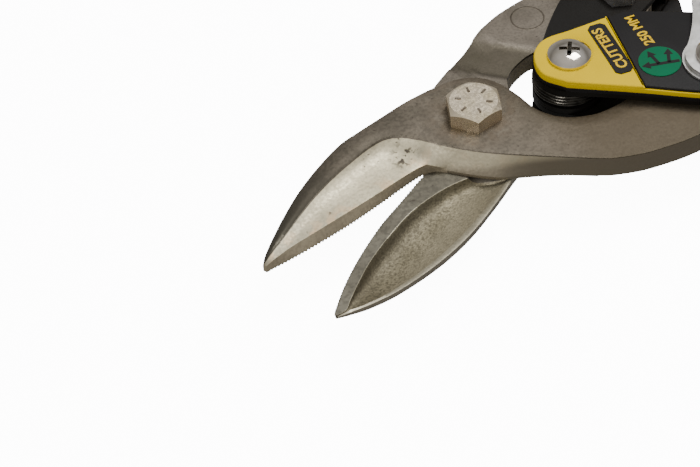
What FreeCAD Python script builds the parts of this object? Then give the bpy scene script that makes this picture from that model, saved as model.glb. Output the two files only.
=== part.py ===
import FreeCAD, Part
import math
import os
import Sketcher
from FreeCAD import Placement, Rotation, Vector

# Compound-action aviation snips, drawn with the jaws open.
# Frame: the pivot bolt's axis is Z, +X points to the jaws, +Y is the side of the upper handle,
# and Z is zero at the end of the bolt, which is also the lowest level of the grips.

DIMENSIONS = {
    "jaw_thickness": 5.4,
    "blade_gap": 0.04,
    "parting_height": 10.5,
    "blade_floor": 2.6,
    "bolt_diameter": 6.35,
    "bolt_across_flats": 11.11,
    "bolt_head_height": 3.9,
    "washer_diameter": 14.0,
    "washer_thickness": 0.8,
    "nut_height": 3.9,
    "running_clearance": 0.05,
    "link_clearance": 0.4,
    "plate_thickness": 1.4,
    "nose_radius": 8.0,
    "cover_base_thickness": 1.15,
    "cover_body_thickness": 1.2,
    "cover_panel_thickness": 0.7,
    "handle_screw_diameter": 5.0,
    "screw_head_diameter": 9.5,
    "screw_head_height": 2.2,
    "bushing_diameter": 7.2,
    "tang_eye_radius": 7.5,
    "spring_wire": 1.25,
    "spring_radius": 7.5,
    "spring_turns": 3,
    "badge_length": 16.4,
    "badge_width": 4.1,
    "badge_thickness": 0.25,
    "disc_radius": 4.6,
    "latch_thickness": 1.1,
    "latch_base_thickness": 0.55,
    "stud_radius": 2.0,
    "grip_length": 139.0,
    "sleeve_thickness": 2.2,
    "nut_across_flats": 8.0,
    "handle_nut_height": 2.7,
    "disc_thickness": 0.2,
    "stud_flange_thickness": 1.1,
}

doc = FreeCAD.newDocument("aviation_snips")
sheet = doc.addObject("Spreadsheet::Sheet", "dimensions")
for row, (alias, number) in enumerate(DIMENSIONS.items(), 1):
    sheet.set("A%d" % row, alias)
    sheet.set("B%d" % row, str(number))
    sheet.setAlias("B%d" % row, alias)
doc.recompute()


def size(alias):
    return float(sheet.get(alias))


def bind(target, prop, formula):
    """Bind a property to the sheet; a word of the formula that is an alias becomes a cell."""
    words = []
    for word in formula.split():
        words.append("<<dimensions>>." + word if word in DIMENSIONS else word)
    target.setExpression(prop, " ".join(words))


# Where the pins of the linkage stand, seen from above, with the jaws open.
HANDLE_PIVOT = Vector(-24.2, 0, 0)
TANG_PIVOT = Vector(-50.0, 18.3, 0)
REAR_LINK = (HANDLE_PIVOT - TANG_PIVOT).Length
HANDLE_ANGLE = math.degrees(math.atan2(TANG_PIVOT.y, HANDLE_PIVOT.x - TANG_PIVOT.x))
GRIP_BEND = math.radians(11.0)

# Levels above the parting plane of the jaws, in a handle's own frame.
FACE_GAP = size("running_clearance")
OUTER_PLATE = size("jaw_thickness") + FACE_GAP
COVER_BASE = OUTER_PLATE + size("plate_thickness")
COVER_BODY = COVER_BASE + size("cover_base_thickness")
COVER_PANEL = COVER_BODY + size("cover_body_thickness")
COVER_TOP = COVER_PANEL + size("cover_panel_thickness")
INNER_PLATE = -FACE_GAP - size("plate_thickness")
LATCH_BASE = COVER_TOP + FACE_GAP
LATCH_PLATE = LATCH_BASE + size("latch_base_thickness") + FACE_GAP
LATCH_TOP = LATCH_PLATE + size("latch_thickness") + FACE_GAP
GRIP_DEPTH = size("parting_height")
SHANK = size("handle_screw_diameter") / 2
SHANK_HOLE = SHANK + FACE_GAP

# The upper handle's frame has its origin at the tang pivot, X towards the handle pivot and Y
# outwards. The lower handle is the same handle turned over about the X axis.
PARTING = Placement(Vector(0, 0, size("parting_height")), Rotation())
TURN_OVER = Placement(Vector(), Rotation(Vector(1, 0, 0), 180))
UPPER = PARTING * Placement(TANG_PIVOT, Rotation(Vector(0, 0, 1), -HANDLE_ANGLE))
LOWER = PARTING * TURN_OVER * Placement(TANG_PIVOT, Rotation(Vector(0, 0, 1), -HANDLE_ANGLE))

parts = []


def keep(shape_object, name, placement=None):
    shape_object.Label = name
    if placement is not None:
        shape_object.Placement = placement
    parts.append(shape_object)
    return shape_object


def outline(start, *steps):
    """A closed chain of curves: a step of one point is a line, of two an arc, of more a spline."""
    curves = []
    here = Vector(*start)
    for step in steps:
        points = [here] + [Vector(*point) for point in step]
        if len(points) == 2:
            curves.append(Part.LineSegment(*points))
        elif len(points) == 3:
            curves.append(Part.Arc(*points))
        else:
            spline = Part.BSplineCurve()
            spline.interpolate(points)
            curves.append(spline)
        here = points[-1]
    return curves


def circle(x, y, radius):
    return [Part.Circle(Vector(x, y, 0), Vector(0, 0, 1), radius)]


def new_body(name, placement):
    body = doc.addObject("PartDesign::Body", name)
    return keep(body, name, placement)


def meeting_ends(sketch, first, second):
    """Which end of each of two curves meets the other's, since a sketch turns some arcs round."""
    def gap(ends):
        return sketch.getPoint(first, ends[0]).distanceToPoint(sketch.getPoint(second, ends[1]))

    return min([(1, 1), (1, 2), (2, 1), (2, 2)], key=gap)


def sketch_at(body, name, curves, level):
    """A sketch on the body's own ground plane, raised to a level given as a formula."""
    sketch = body.newObject("Sketcher::SketchObject", name)
    support = next(item for item in body.Origin.OriginFeatures if item.Role == "XY_Plane")
    sketch.AttachmentSupport = (support, [""])
    sketch.MapMode = "FlatFace"
    bind(sketch, "AttachmentOffset.Base.z", level)
    sketch.addGeometry(curves)
    joins = []
    for index in range(len(curves) if len(curves) > 1 else 0):
        after = (index + 1) % len(curves)
        ends = meeting_ends(sketch, index, after)
        joins.append(Sketcher.Constraint("Coincident", index, ends[0], after, ends[1]))
    sketch.addConstraint(joins)
    return sketch


def pad(body, name, curves, level, length):
    feature = body.newObject("PartDesign::Pad", name)
    feature.Profile = sketch_at(body, name + "_sketch", curves, level)
    bind(feature, "Length", length)
    doc.recompute()
    return feature


def pocket(body, name, curves, level, length, upwards=False):
    """Cut from a level down, or up, and check that the cut took something away."""
    before = body.Shape.Volume
    feature = body.newObject("PartDesign::Pocket", name)
    feature.Profile = sketch_at(body, name + "_sketch", curves, level)
    bind(feature, "Length", length)
    feature.Reversed = upwards
    doc.recompute()
    if body.Shape.Volume >= before:
        raise RuntimeError("%s of %s cuts nothing" % (name, body.Label))
    return feature


def cylinder(radius, height, level, x=0.0, y=0.0):
    """A cylinder whose radius, height and level are formulas."""
    item = doc.addObject("Part::Cylinder", "cylinder")
    bind(item, "Radius", radius)
    bind(item, "Height", height)
    item.Placement.Base = Vector(x, y, 0)
    bind(item, "Placement.Base.z", level)
    return item


def hexagon(across_flats, height, level, turn=0.0):
    item = doc.addObject("Part::Prism", "hexagon")
    item.Polygon = 6
    bind(item, "Circumradius", across_flats + " / 2 / cos(30)")
    bind(item, "Height", height)
    item.Placement = Placement(Vector(), Rotation(Vector(0, 0, 1), turn))
    bind(item, "Placement.Base.z", level)
    return item


def cut(name, base, tool, placement=None):
    item = doc.addObject("Part::Cut", name)
    item.Base = base
    item.Tool = tool
    return item if placement is None else keep(item, name, placement)


def fuse(name, shapes, placement=None):
    item = doc.addObject("Part::MultiFuse", name)
    item.Shapes = shapes
    return item if placement is None else keep(item, name, placement)


def common(name, base, tool):
    item = doc.addObject("Part::Common", name)
    item.Base = base
    item.Tool = tool
    return item


def ring(name, outer, inner, height, level, placement, x=0.0, y=0.0):
    """A washer or sleeve: every size is a formula."""
    wall = cylinder(outer, height, level, x, y)
    bore = cylinder(inner, height, level, x, y)
    return cut(name, wall, bore, placement)


def solid(name, shape, placement):
    """A piece whose shape has no simple feature; the shape's own shift is kept."""
    item = doc.addObject("Part::Feature", name)
    item.Shape = shape
    return keep(item, name, placement * shape.Placement)


# ---- Jaws ---------------------------------------------------------------------------------

# The tang: scooped round the handle pivot on its inner side, bowed on its outer side, with a
# round eye at the tang pivot. Both jaws have it, the lower one on the other side.
EYE = size("tang_eye_radius")
EYE_INNER = (TANG_PIVOT.x + 0.8, TANG_PIVOT.y - EYE + 0.05)
EYE_BACK = (TANG_PIVOT.x - EYE, TANG_PIVOT.y)
EYE_OUTER = (TANG_PIVOT.x - 2.5, TANG_PIVOT.y + math.sqrt(EYE ** 2 - 2.5 ** 2))
TANG_INNER = ((-14.3, 9.9), (-17.6, 12.7), (-22.8, 14.2), (-28.5, 14.1), (-38.0, 12.2), EYE_INNER)
TANG_OUTER = ((-45.5, 29.0), (-37.5, 30.9), (-25.3, 29.7), (-17.5, 27.0), (-10.5, 22.3))


def upper_jaw_outline():
    return outline(
        (14.9, 5.6),
        ((36.4, 9.9), (56.3, 12.2)),
        ((57.3, 12.0), (57.1, 11.3)),
        ((47.6, 2.4), (42.0, -1.6), (34.8, -5.2), (26.5, -8.2), (12.4, -10.6), (1.5, -11.5)),
        ((-7.6, -8.0), (-11.1, 0.9)),
        ((-12.4, 6.9),),
        TANG_INNER,
        (EYE_BACK, EYE_OUTER),
        TANG_OUTER + ((-1.5, 17.6),),
        ((3.0, 15.4), (7.9, 11.3)),
        ((13.0, 6.3),),
        ((14.9, 5.6),),
    )


def lower_jaw_outline():
    mirrored_inner = tuple((x, -y) for x, y in TANG_INNER)
    mirrored_outer = tuple((x, -y) for x, y in TANG_OUTER)
    return outline(
        (13.6, 4.4),
        ((17.6, 6.3), (24.1, 9.7), (31.0, 13.3), (38.5, 18.3), (44.7, 23.3), (49.9, 28.6)),
        ((50.0, 29.8), (48.9, 30.2)),
        ((42.6, 30.9), (35.8, 30.4), (25.2, 28.3), (16.2, 25.2), (7.5, 20.8), (-3.8, 14.6)),
        ((-9.6, 9.0),),
        ((-11.3, 0.0), (-12.4, -6.9)),
        mirrored_inner,
        ((EYE_BACK[0], -EYE_BACK[1]), (EYE_OUTER[0], -EYE_OUTER[1])),
        mirrored_outer + ((-1.5, -17.6),),
        ((4.0, -14.4), (9.0, -9.4)),
        ((13.0, -3.0),),
        ((13.6, 4.4),),
    )


PIVOT_HOLE = size("bolt_diameter") / 2 + FACE_GAP
EYE_HOLE = size("bushing_diameter") / 2 + FACE_GAP

upper_jaw = new_body("upper_jaw", Placement())
pad(upper_jaw, "blank", upper_jaw_outline(), "parting_height + blade_gap / 2",
    "jaw_thickness - blade_gap / 2")
# The face beside the cutting edge is forged down to a thin blade, which leaves a rim outside.
upper_recess = outline(
    (12.3, 1.4),
    ((14.6, -2.2), (19.5, -4.6), (28.6, -2.7), (41.2, 3.0), (51.2, 8.9), (55.6, 11.6)),
    ((60.0, 17.0),),
    ((10.0, 12.5),),
    ((12.3, 1.4),),
)
pocket(upper_jaw, "recess", upper_recess, "parting_height + jaw_thickness",
       "jaw_thickness - blade_floor")
# The corner between the head and the blade slopes down to the cutting face.
corner_slope = outline(
    (13.7, 0.5),
    ((8.2, 7.0), (2.0, 12.8)),
    ((-5.1, 18.6),),
    ((4.0, 20.0),),
    ((16.0, 8.0),),
    ((13.7, 0.5),),
)
pocket(upper_jaw, "corner", corner_slope, "parting_height + jaw_thickness", "jaw_thickness / 3")
pocket(upper_jaw, "pivot_hole", circle(0, 0, PIVOT_HOLE), "parting_height + jaw_thickness",
       "2 * jaw_thickness")
pocket(upper_jaw, "eye_hole", circle(TANG_PIVOT.x, TANG_PIVOT.y, EYE_HOLE),
       "parting_height + jaw_thickness", "2 * jaw_thickness")

lower_jaw = new_body("lower_jaw", Placement())
pad(lower_jaw, "blank", lower_jaw_outline(), "parting_height - jaw_thickness",
    "jaw_thickness - blade_gap / 2")
# A scoop behind the ground cutting band takes the cut strip as it curls down.
lower_scoop = outline(
    (13.6, 11.6),
    ((24.0, 13.4), (30.4, 16.4), (37.5, 20.6), (46.9, 28.6)),
    ((47.0, 29.2), (46.4, 29.2)),
    ((42.6, 29.4), (35.8, 29.2), (25.2, 26.9), (16.2, 23.7), (8.4, 19.6)),
    ((9.0, 13.2), (13.6, 11.6)),
)
pocket(lower_jaw, "scoop", lower_scoop, "parting_height", "jaw_thickness - blade_floor")
# The underside of the blade rises towards its outer edge.
under_rim = outline(
    (54.0, 20.0),
    ((40.5, 20.6), (27.0, 22.6)),
    ((10.0, 17.0),),
    ((-4.0, 18.0),),
    ((20.0, 40.0),),
    ((60.0, 40.0),),
    ((54.0, 20.0),),
)
pocket(lower_jaw, "under_rim", under_rim, "parting_height - jaw_thickness",
       "jaw_thickness - blade_floor - 0.9", upwards=True)
pocket(lower_jaw, "pivot_hole", circle(0, 0, PIVOT_HOLE), "parting_height",
       "2 * jaw_thickness")
pocket(lower_jaw, "eye_hole", circle(TANG_PIVOT.x, -TANG_PIVOT.y, EYE_HOLE),
       "parting_height", "2 * jaw_thickness")

# ---- Pivot bolt, washer and nut -----------------------------------------------------------

HEAD_TURN = 8.5
head_hexagon = hexagon("bolt_across_flats", "bolt_head_height",
                       "parting_height + jaw_thickness", HEAD_TURN)
head_crown = doc.addObject("Part::Cone", "head_crown")
bind(head_crown, "Radius1", "bolt_across_flats * 1.02")
bind(head_crown, "Radius2", "bolt_across_flats * 0.47")
bind(head_crown, "Height", "bolt_head_height")
bind(head_crown, "Placement.Base.z", "parting_height + jaw_thickness")
bolt_head = common("bolt_head", head_hexagon, head_crown)
bolt_shank = cylinder("bolt_diameter / 2", "parting_height + jaw_thickness", "0")
fuse("pivot_bolt", [bolt_head, bolt_shank], Placement())
ring("pivot_washer", "washer_diameter / 2", "bolt_diameter / 2 + running_clearance",
     "washer_thickness",
     "parting_height - jaw_thickness - running_clearance - washer_thickness", Placement())
nut_body = hexagon("bolt_across_flats", "nut_height",
                   "parting_height - jaw_thickness - running_clearance - washer_thickness "
                   "- nut_height")
nut_bore = cylinder("bolt_diameter / 2 + running_clearance / 5", "parting_height", "0")
cut("pivot_nut", nut_body, nut_bore, Placement())

# ---- Handle outlines, in a handle's own frame ---------------------------------------------


def along(distance, outwards):
    """A point at a distance behind the tang pivot along the grip, and outwards from its line."""
    x = -distance * math.cos(GRIP_BEND) - outwards * math.sin(GRIP_BEND)
    y = -distance * math.sin(GRIP_BEND) + outwards * math.cos(GRIP_BEND)
    return (x, y)


NOSE = size("nose_radius")
NOSE_TIP = (REAR_LINK + NOSE, 0.0)
TAIL_END = 104.0


def outer_plate_outline():
    return outline(
        (REAR_LINK, NOSE),
        ((14.9, 8.6), (3.4, 9.4), (-6.0, 9.2), along(16, 8.0)),
        (along(TAIL_END, 6.5),),
        (along(TAIL_END + 4.5, 2.0), along(TAIL_END, -2.5)),
        (along(16, -5.6),),
        ((-8.5, -8.4), (-1.2, -7.5), (3.6, -6.5)),
        ((18.0, -7.0), (26.0, -7.6), (REAR_LINK, -NOSE)),
        (NOSE_TIP, (REAR_LINK, NOSE)),
    )


def inner_plate_outline():
    return outline(
        (REAR_LINK, NOSE),
        ((24.2, 9.8), (13.4, 11.6), (6.9, 12.0), (-5.0, 11.0), along(16, 8.0)),
        (along(TAIL_END, 6.5),),
        (along(TAIL_END + 4.5, 2.0), along(TAIL_END, -2.5)),
        (along(16, -5.6),),
        ((-8.5, -8.4), (-1.2, -7.5), (3.6, -6.5)),
        ((18.0, -7.0), (26.0, -7.6), (REAR_LINK, -NOSE)),
        (NOSE_TIP, (REAR_LINK, NOSE)),
    )


def web_outline():
    """The wall that joins the two plates along their inner edge, behind the tang's eye."""
    wall = size("plate_thickness")
    return outline(
        (-8.5, -8.4),
        (along(16, -5.6),),
        (along(TAIL_END, -2.5),),
        (along(TAIL_END, -2.5 + wall),),
        (along(16, -5.6 + wall),),
        ((-8.7, -8.4 + wall),),
        ((-8.5, -8.4),),
    )


def cover_outline(inset=0.0):
    """The moulded cover: a round nose, then wider on the inner side; inset draws it smaller."""
    return outline(
        (REAR_LINK, 8.1 - inset),
        ((15.0, 9.0 - inset), (3.5, 9.9 - inset), (-6.0, 9.8 - inset), (-14.5 + inset, 7.4 - inset)),
        ((-14.5 + inset, -9.4 + inset),),
        ((-7.0, -13.6 + inset), (2.0, -15.6 + inset)),
        ((16.5, -15.6 + inset),),
        ((20.4, -15.1 + inset), (24.0, -13.1 + inset)),
        ((REAR_LINK, -8.6 + inset),),
        ((39.4 - inset, -0.2), (REAR_LINK, 8.1 - inset)),
    )


# The slanted line where the yellow nose meets the dark panel.
SEAM_INNER = Vector(23.9, -13.1, 0)
SEAM_OUTER = Vector(15.0, 9.2, 0)


def half_plane(forward, level, height, slack=0.0):
    """A block on one side of the seam: forward is the nose's side, slack moves it off the seam."""
    run = (SEAM_OUTER - SEAM_INNER).normalize()
    aside = Vector(run.y, -run.x, 0) * (1 if forward else -1)
    first = SEAM_INNER - run * 30 + aside * slack
    last = SEAM_OUTER + run * 30 + aside * slack
    corners = [first, last, last + aside * 80, first + aside * 80, first]
    face = Part.Face(Part.makePolygon([Vector(p.x, p.y, level) for p in corners]))
    return face.extrude(Vector(0, 0, height))


def slab(curves, level, height):
    wire = Part.Wire([curve.toShape() for curve in curves])
    shape = Part.Face(wire).extrude(Vector(0, 0, height))
    shape.translate(Vector(0, 0, level))
    return shape


def rod(radius, x=0.0, y=0.0):
    return Part.makeCylinder(radius, 60, Vector(x, y, -30))


# ---- Grips --------------------------------------------------------------------------------

# Along the grip: distance behind the tang pivot, outward offset, half width, half depth.
GRIP_SECTIONS = (
    (16.0, 2.6, 9.9, 8.4),
    (27.0, 3.2, 10.7, 9.7),
    (50.0, 4.6, 11.8, GRIP_DEPTH - 0.3),
    (78.0, 5.0, 12.6, GRIP_DEPTH - 0.3),
    (104.0, 4.0, 11.2, 10.1),
    (127.0, 3.6, 11.8, GRIP_DEPTH - 0.3),
    (136.0, 3.5, 10.2, 8.8),
    (size("grip_length"), 3.4, 6.5, 5.4),
)
SLEEVE_START = 38.0
SLEEVE_END = 126.0


def grip_section(distance, offset, half_width, half_depth, shrink):
    centre = Vector(*along(distance, offset), 0)
    across = Vector(-math.sin(GRIP_BEND), math.cos(GRIP_BEND), 0)
    upwards = Vector(0, 0, 1)
    backwards = Vector(-math.cos(GRIP_BEND), -math.sin(GRIP_BEND), 0)
    squareness = 0.78
    points = []
    for step in range(16):
        angle = 2 * math.pi * step / 16
        side = math.copysign(abs(math.cos(angle)) ** squareness, math.cos(angle))
        rise = math.copysign(abs(math.sin(angle)) ** squareness, math.sin(angle))
        points.append(centre + across * side * (half_width - shrink)
                      + upwards * rise * (half_depth - shrink))
    spline = Part.BSplineCurve()
    spline.interpolate(points, PeriodicFlag=True)
    return Part.Wire([spline.toShape()])


def grip_loft(shrink=0.0):
    wires = [grip_section(*section, shrink) for section in GRIP_SECTIONS]
    return Part.makeLoft(wires, True, False)


def grip_slice(start, end):
    """A block that holds the stretch of the grip between two distances."""
    corners = [along(start, -40), along(end, -40), along(end, 40), along(start, 40)]
    face = Part.Face(Part.makePolygon([Vector(x, y, -30) for x, y in corners + corners[:1]]))
    return face.extrude(Vector(0, 0, 60))


def channel_room():
    """The room that the channel's tail takes inside the grip, with a little play."""
    play = 0.1
    curves = outline(
        along(0, 8.0 + play),
        (along(16, 8.0 + play),),
        (along(TAIL_END, 6.6 + play),),
        (along(TAIL_END + 4.6 + play, 2.0), along(TAIL_END, -2.6 - play)),
        (along(16, -5.7 - play),),
        (along(0, -5.7 - play),),
        (along(0, 8.0 + play),),
    )
    low = INNER_PLATE - play
    return slab(curves, low, COVER_BASE + play - low)


# ---- Handles ------------------------------------------------------------------------------


def build_channel(name, placement, pivot_hole):
    """The steel channel: an outer plate, an inner plate and the web between them."""
    channel = new_body(name, placement)
    pad(channel, "outer_plate", outer_plate_outline(), "jaw_thickness + running_clearance",
        "plate_thickness")
    pad(channel, "web", web_outline(), "0 - running_clearance - plate_thickness",
        "jaw_thickness + 2 * running_clearance + 2 * plate_thickness")
    pad(channel, "inner_plate", inner_plate_outline(), "0 - running_clearance - plate_thickness",
        "plate_thickness")
    holes = {
        "pivot_hole": circle(REAR_LINK, 0, pivot_hole),
        "tang_hole": circle(0, 0, SHANK_HOLE),
    }
    for label, curves in holes.items():
        pocket(channel, label, curves, "4 * jaw_thickness", "8 * jaw_thickness")
    return channel


def build_cover(prefix, placement, pivot_hole, tang_hole):
    """The moulded cover on a channel's outer plate: base, body with its raised nose, and panel."""
    bores = rod(pivot_hole, REAR_LINK).fuse(rod(tang_hole))
    base = slab(cover_outline(), COVER_BASE, size("cover_base_thickness"))
    solid(prefix + "_cover_base", base.cut(bores), placement)
    body = slab(cover_outline(), COVER_BODY, size("cover_body_thickness"))
    nose_top = slab(cover_outline(), COVER_PANEL, size("cover_panel_thickness"))
    nose_top = nose_top.common(half_plane(True, COVER_PANEL - 1, 5, 0.0))
    body = body.fuse(nose_top).removeSplitter()
    solid(prefix + "_cover_body", body.cut(bores), placement)
    panel = slab(cover_outline(0.5), COVER_PANEL, size("cover_panel_thickness"))
    panel = panel.common(half_plane(False, COVER_PANEL - 1, 5, 0.12))
    solid(prefix + "_cover_panel", panel.cut(bores), placement)


BADGE_CENTRE = Vector(22.9, -2.6, 0)
BADGE_TURN = 116.0
DISC_CENTRE = Vector(12.2, 1.0, 0)


def build_badge(prefix, placement):
    """A plain dark badge with clipped corners, lying on the nose along the seam."""
    half_length = size("badge_length") / 2
    half_width = size("badge_width") / 2
    clip = 0.9
    corners = []
    for sign_x, sign_y in ((1, 1), (-1, 1), (-1, -1), (1, -1)):
        near = Vector(sign_x * (half_length - clip), sign_y * half_width, 0)
        far = Vector(sign_x * half_length, sign_y * (half_width - clip), 0)
        corners += [far, near] if sign_x * sign_y > 0 else [near, far]
    plate = Part.Face(Part.makePolygon(corners + corners[:1]))
    plate = plate.extrude(Vector(0, 0, size("badge_thickness")))
    turn = Placement(BADGE_CENTRE + Vector(0, 0, COVER_TOP), Rotation(Vector(0, 0, 1), BADGE_TURN))
    solid(prefix + "_badge", plate.transformGeometry(turn.toMatrix()), placement)


def build_disc(prefix, placement):
    disc = Part.makeCylinder(size("disc_radius"), size("disc_thickness"),
                             DISC_CENTRE + Vector(0, 0, COVER_TOP))
    solid(prefix + "_direction_disc", disc, placement)


def build_grip(prefix, placement):
    level_slab = Part.makeBox(400, 400, 2 * GRIP_DEPTH, Vector(-200, -200, -GRIP_DEPTH))
    whole = grip_loft().common(level_slab)
    middle = grip_slice(SLEEVE_START, SLEEVE_END)
    hollow = grip_loft(size("sleeve_thickness"))
    sleeve = whole.common(middle).cut(hollow).cut(channel_room())
    core = whole.cut(middle).fuse(hollow.common(middle)).removeSplitter().cut(channel_room())
    solid(prefix + "_grip_core", core, placement)
    solid(prefix + "_grip_sleeve", sleeve, placement)


def domed_head(level, radius, height):
    """A screw head with a short straight rim, a domed top and a cross recess."""
    rim = height * 0.35
    wire = Part.Wire([
        Part.LineSegment(Vector(0, 0, level), Vector(radius, 0, level)).toShape(),
        Part.LineSegment(Vector(radius, 0, level), Vector(radius, 0, level + rim)).toShape(),
        Part.Arc(
            Vector(radius, 0, level + rim),
            Vector(radius * 0.62, 0, level + height * 0.86),
            Vector(0, 0, level + height),
        ).toShape(),
        Part.LineSegment(Vector(0, 0, level + height), Vector(0, 0, level)).toShape(),
    ])
    head = Part.Face(wire).revolve(Vector(), Vector(0, 0, 1), 360)
    slot_length = radius * 0.95
    slot_width = radius * 0.2
    slot = Part.makeBox(slot_length, slot_width, height,
                        Vector(-slot_length / 2, -slot_width / 2, level + height * 0.45))
    crossed = slot.copy()
    crossed.rotate(Vector(), Vector(0, 0, 1), 90)
    return head.cut(slot).cut(crossed)


def screw(name, placement, x, head_level, tip_level):
    head = domed_head(head_level, size("screw_head_diameter") / 2, size("screw_head_height"))
    shank = Part.makeCylinder(SHANK, head_level + 0.1 - tip_level, Vector(0, 0, tip_level))
    shape = head.fuse(shank).removeSplitter()
    shape.translate(Vector(x, 0, 0))
    solid(name, shape, placement)


def small_nut(name, placement, x, top_level):
    height = size("handle_nut_height")
    radius = size("nut_across_flats") / 2 / math.cos(math.pi / 6)
    points = []
    for step in range(7):
        angle = math.pi / 3 * step
        points.append(Vector(radius * math.cos(angle), radius * math.sin(angle), top_level - height))
    prism = Part.Face(Part.makePolygon(points)).extrude(Vector(0, 0, height))
    bore = Part.makeCylinder(SHANK + FACE_GAP / 5, height, Vector(0, 0, top_level - height))
    shape = prism.cut(bore)
    shape.translate(Vector(x, 0, 0))
    solid(name, shape, placement)


LOOSE_HOLE = SHANK + size("link_clearance")
NUT_ROOM = size("nut_across_flats") / 2 / math.cos(math.pi / 6) + 0.6
HEAD_ROOM = size("screw_head_diameter") / 2 + 0.4

build_channel("upper_handle_channel", UPPER, SHANK_HOLE)
build_channel("lower_handle_channel", LOWER, LOOSE_HOLE)
build_cover("upper", UPPER, SHANK_HOLE, SHANK_HOLE)
build_cover("lower", LOWER, NUT_ROOM, HEAD_ROOM)
for prefix, placement in (("upper", UPPER), ("lower", LOWER)):
    build_badge(prefix, placement)
    build_disc(prefix, placement)
    build_grip(prefix, placement)
    ring(prefix + "_tang_bushing", "bushing_diameter / 2",
         "handle_screw_diameter / 2 + running_clearance", "jaw_thickness", "running_clearance / 2",
         placement)
    small_nut(prefix + "_tang_nut", placement, 0, INNER_PLATE - FACE_GAP)

NUT_END = INNER_PLATE - FACE_GAP - size("handle_nut_height")
screw("upper_tang_screw", UPPER, 0, LATCH_TOP, NUT_END)
screw("lower_tang_screw", LOWER, 0, COVER_BASE, NUT_END)

# The handle screw belongs to the upper handle. Its nut bears on the lower handle's outer plate.
HANDLE_NUT_TOP = -COVER_BASE - FACE_GAP
screw("handle_pivot_screw", UPPER, REAR_LINK, COVER_TOP,
      HANDLE_NUT_TOP - size("handle_nut_height"))
small_nut("handle_pivot_nut", UPPER, REAR_LINK, HANDLE_NUT_TOP)
ring("upper_spacer_sleeve", "handle_screw_diameter / 2 + 1.6",
     "handle_screw_diameter / 2 + running_clearance",
     "jaw_thickness - plate_thickness - 3 * running_clearance",
     "plate_thickness + 3 * running_clearance", UPPER, REAR_LINK)
ring("lower_spacer_sleeve", "handle_screw_diameter / 2 + 3",
     "handle_screw_diameter / 2 + running_clearance",
     "jaw_thickness - plate_thickness - 3 * running_clearance",
     "0 - jaw_thickness + 2 * running_clearance", UPPER, REAR_LINK)

# ---- Torsion spring -----------------------------------------------------------------------

WIRE = size("spring_wire")
COIL = size("spring_radius")
TURNS = size("spring_turns")
coil_room = size("jaw_thickness") - size("plate_thickness") - WIRE - 3 * FACE_GAP
coil_pitch = coil_room / TURNS
coil_start = size("plate_thickness") + 2.5 * FACE_GAP + WIRE / 2
helix = Part.makeHelix(coil_pitch, coil_pitch * TURNS, COIL)
helix.translate(Vector(0, 0, coil_start))
wire_circle = Part.Circle(Vector(COIL, 0, coil_start), Vector(0, 1, 0), WIRE / 2).toShape()
coil = Part.Wire(helix.Edges).makePipeShell([Part.Wire([wire_circle])], True, True)
LEG = 6.5
low_leg = Part.makeCylinder(WIRE / 2, LEG, Vector(COIL, 0, coil_start), Vector(0, -1, 0))
high_leg = Part.makeCylinder(WIRE / 2, LEG, Vector(COIL, 0, coil_start + coil_pitch * TURNS),
                             Vector(0, 1, 0))
spring_shape = coil.fuse(low_leg).fuse(high_leg)
spring_shape.rotate(Vector(), Vector(0, 0, 1), 205)
spring_shape.translate(Vector(REAR_LINK, 0, 0))
solid("torsion_spring", spring_shape, UPPER)

# ---- Latch --------------------------------------------------------------------------------

# With the snips shut, the stud on the lower handle stands here in the upper handle's frame.
STUD_SHUT = Vector(-2.0, -20.0, 0)
LATCH_SWING = 19.0
STUD = size("stud_radius")
SLOT = STUD + 0.35
reach = STUD_SHUT.Length
stud_bearing = math.degrees(math.atan2(STUD_SHUT.y, STUD_SHUT.x)) - LATCH_SWING


def polar(radius, bearing):
    angle = math.radians(bearing)
    return (radius * math.cos(angle), radius * math.sin(angle))


def latch_outline():
    """A plate round the tang pivot with a curved slot, and a finger that closes over the stud."""
    inner = reach - SLOT
    outer = reach + SLOT
    return outline(
        (6.6, -2.0),
        ((2.6, 6.4), (-6.8, 1.4)),
        ((-9.0, -6.0), (-15.4, -11.6)),
        (polar(27.0, stud_bearing - 18), polar(27.0, stud_bearing - 4)),
        (polar(outer + 2.6, stud_bearing + 4), polar(outer, stud_bearing + 2)),
        (polar(outer, stud_bearing + 1), polar(outer, stud_bearing)),
        (polar(reach, stud_bearing - 6.6), polar(inner, stud_bearing)),
        (polar(inner, stud_bearing + 16), polar(inner, stud_bearing + 32)),
        ((4.4, -19.2), (5.5, -17.6)),
        ((5.4, -10.0), (6.6, -2.0)),
    )


latch = new_body("latch_lever", UPPER)
pad(latch, "plate", latch_outline(),
    "jaw_thickness + plate_thickness + cover_base_thickness + cover_body_thickness "
    "+ cover_panel_thickness + latch_base_thickness + 3 * running_clearance", "latch_thickness")
for label, curves in (("pivot", circle(0, 0, SHANK_HOLE)), ("hole", circle(2.2, -15.6, 1.5))):
    pocket(latch, label, curves, "4 * jaw_thickness", "8 * jaw_thickness")

ring("latch_base", "tang_eye_radius", "handle_screw_diameter / 2 + running_clearance",
     "latch_base_thickness",
     "jaw_thickness + plate_thickness + cover_base_thickness + cover_body_thickness "
     "+ cover_panel_thickness + 2 * running_clearance", UPPER)

# The stud is riveted to the lower handle's inner plate, so it points away from its cover.
STUD_X = -7.48
STUD_Y = 1.08
stud_top = LATCH_TOP + 0.15
stud_shape = Part.makeCylinder(STUD, stud_top + INNER_PLATE, Vector(STUD_X, STUD_Y, -stud_top))
flange = Part.makeCylinder(STUD * 1.6, size("stud_flange_thickness"),
                           Vector(STUD_X, STUD_Y, -stud_top - size("stud_flange_thickness")))
solid("latch_stud", stud_shape.fuse(flange).removeSplitter(), LOWER)

# ---- Checks and files ---------------------------------------------------------------------

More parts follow.
